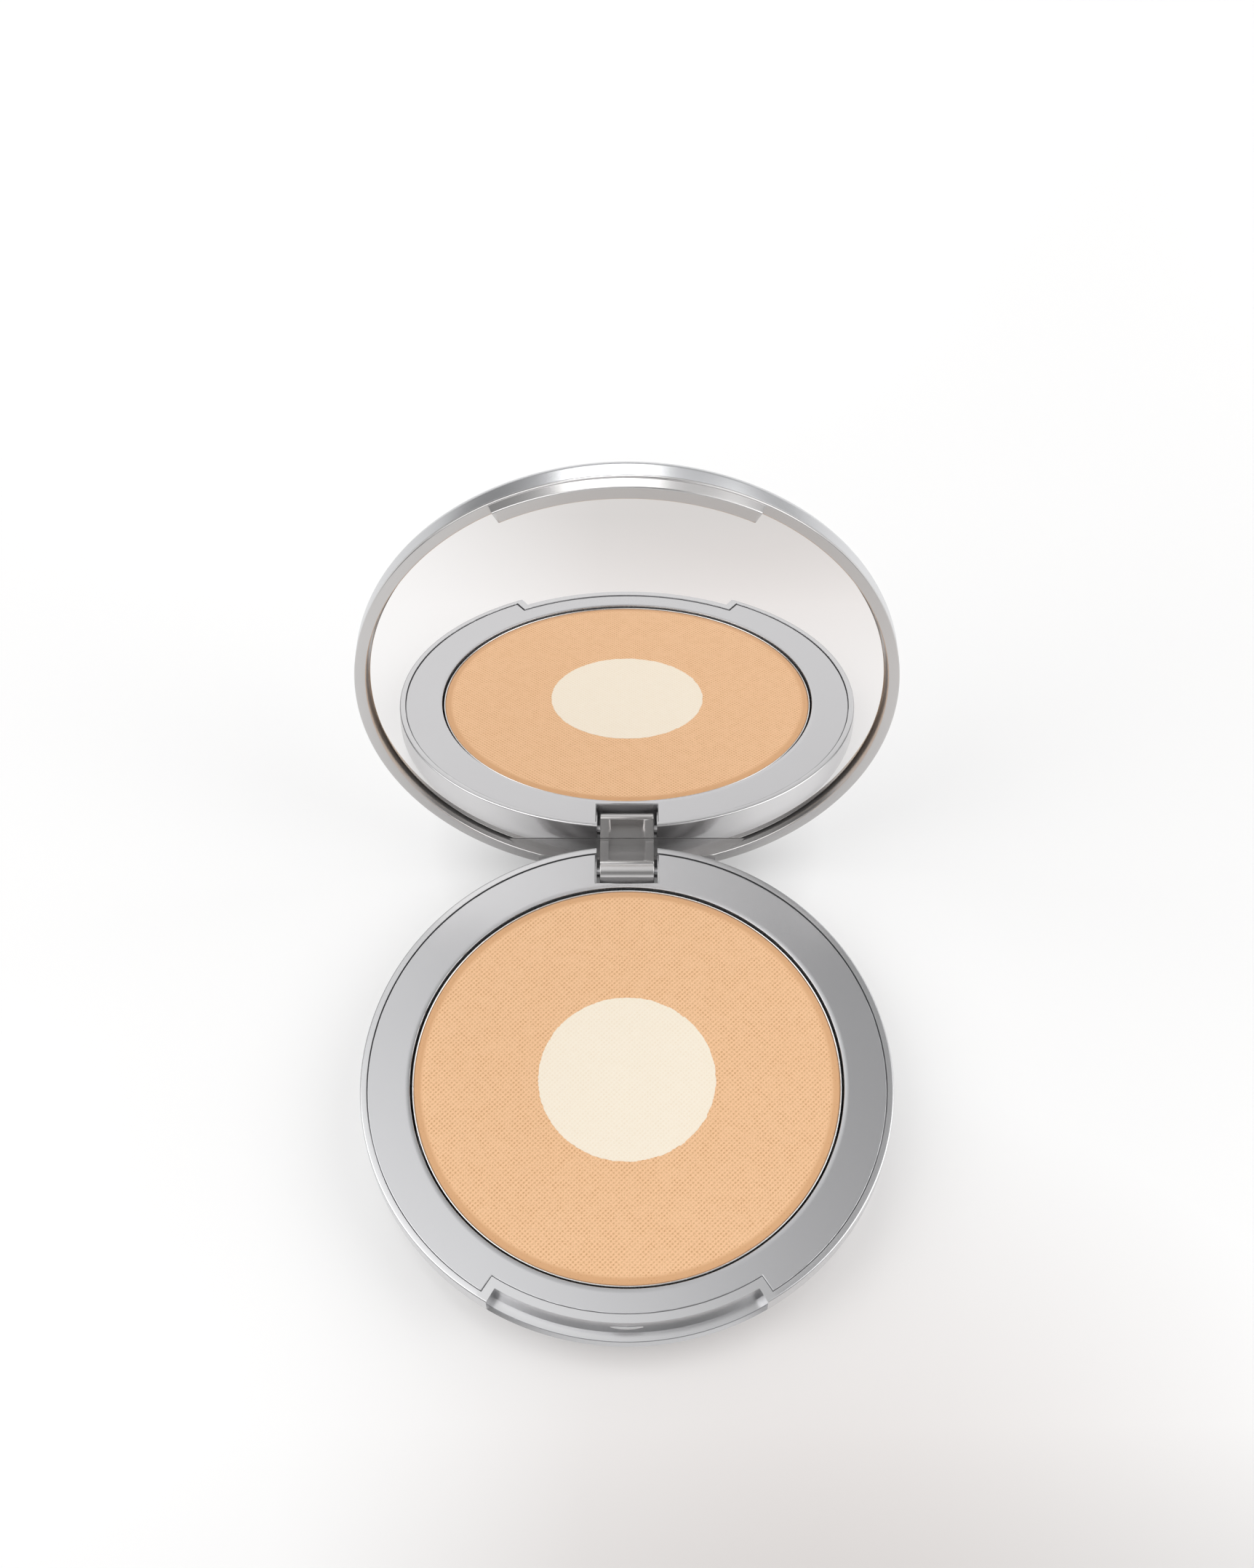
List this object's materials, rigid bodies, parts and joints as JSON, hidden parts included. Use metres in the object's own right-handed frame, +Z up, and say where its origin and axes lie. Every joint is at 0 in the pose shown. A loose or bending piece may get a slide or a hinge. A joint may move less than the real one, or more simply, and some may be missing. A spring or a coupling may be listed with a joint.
{
  "type": "powder compact",
  "caption": "Round pressed-powder compact: shallow domed case, mirror lid on a rear friction hinge, round pan of two-tone powder, front thumb notch with a matching lid tab.",
  "frame": {"origin": "centre of the flat foot under the base, on the surface the compact stands on", "axes": "+Z up out of the foot, +Y towards the hinge, -Y towards the thumb notch, X along the hinge pin"},
  "size_m": [0.074, 0.0926, 0.0746],
  "materials": {
    "satin_shell": "satin silver coat",
    "satin_deck": "satin silver coat",
    "tinplate": "bright tinplate",
    "glue": "dull",
    "peach_powder": "matte pressed powder",
    "cream_powder": "matte pressed powder",
    "label": "satin",
    "pin_steel": "plain",
    "satin_lid": "satin silver coat",
    "satin_frame": "satin silver coat",
    "mirror_glass": "polished",
    "foam_tape": "dull"
  },
  "bodies": {
    "base": {"base_shell": "satin_shell", "base_deck": "satin_deck", "powder_pan": "tinplate", "pan_glue": "glue", "powder_ring": "peach_powder", "powder_centre": "cream_powder", "base_label": "label", "hinge_pin": "pin_steel"},
    "lid": {"lid_shell": "satin_lid", "lid_frame": "satin_frame", "mirror": "mirror_glass", "mirror_tape": "foam_tape"}
  },
  "joints": [
    {"name": "lid_hinge", "type": "hinge", "parent": "base", "child": "lid", "pos_m": [0, 0.0337, 0.0058], "axis": [-1, 0, 0], "range_deg": [-102, 15]}
  ]
}
